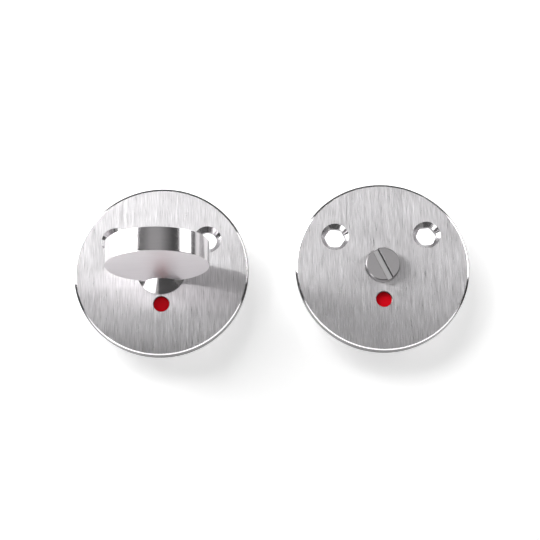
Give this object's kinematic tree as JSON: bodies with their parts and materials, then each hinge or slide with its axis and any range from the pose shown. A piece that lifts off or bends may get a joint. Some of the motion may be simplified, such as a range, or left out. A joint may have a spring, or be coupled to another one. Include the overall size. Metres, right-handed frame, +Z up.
{
  "type": "bathroom thumb turn lock",
  "caption": "Round steel privacy lock set: an inside plate with a disc-shaped thumb turn and an outside plate with a slotted release, each with a red indicator window and screw holes.",
  "frame": {"origin": "on the thumb turn's axis, at the inside plate's back face, where it meets the door", "axes": "+Z up, +X to the right of someone facing the plates, +Y from the plates into the door"},
  "size_m": [0.118, 0.0906, 0.052],
  "materials": {
    "plate_steel": "stainless steel, brushed up and down, edges polished",
    "turn_steel": "stainless steel, turned and satin ground",
    "zinc_steel": "drawn steel, bright zinc plated",
    "spring_steel": "spring steel, phosphated dark",
    "nylon": "natural nylon, moulded",
    "white_moulding": "white acetal, moulded",
    "red_film": "red gloss film"
  },
  "bodies": {
    "plates": {"inside_plate": "plate_steel", "inside_bush": "nylon", "outside_plate": "plate_steel", "outside_bush": "nylon"},
    "turn": {"thumb_turn": "turn_steel", "inside_indicator_disc": "white_moulding", "inside_red_film": "red_film", "inside_retaining_ring": "spring_steel", "square_spindle": "zinc_steel", "spindle_pin": "zinc_steel"},
    "release": {"release_turn": "turn_steel", "outside_indicator_disc": "white_moulding", "outside_red_film": "red_film", "outside_retaining_ring": "spring_steel"}
  },
  "joints": [
    {"name": "turn_hinge", "type": "hinge", "parent": "plates", "child": "turn", "pos_m": [0, 0, 0], "axis": [0, 1, 0], "range_deg": [0, 90]},
    {"name": "release_hinge", "type": "hinge", "parent": "plates", "child": "release", "pos_m": [0.066, 0, 0], "axis": [0, -1, 0], "range_deg": [-24.5, 65.5]}
  ]
}
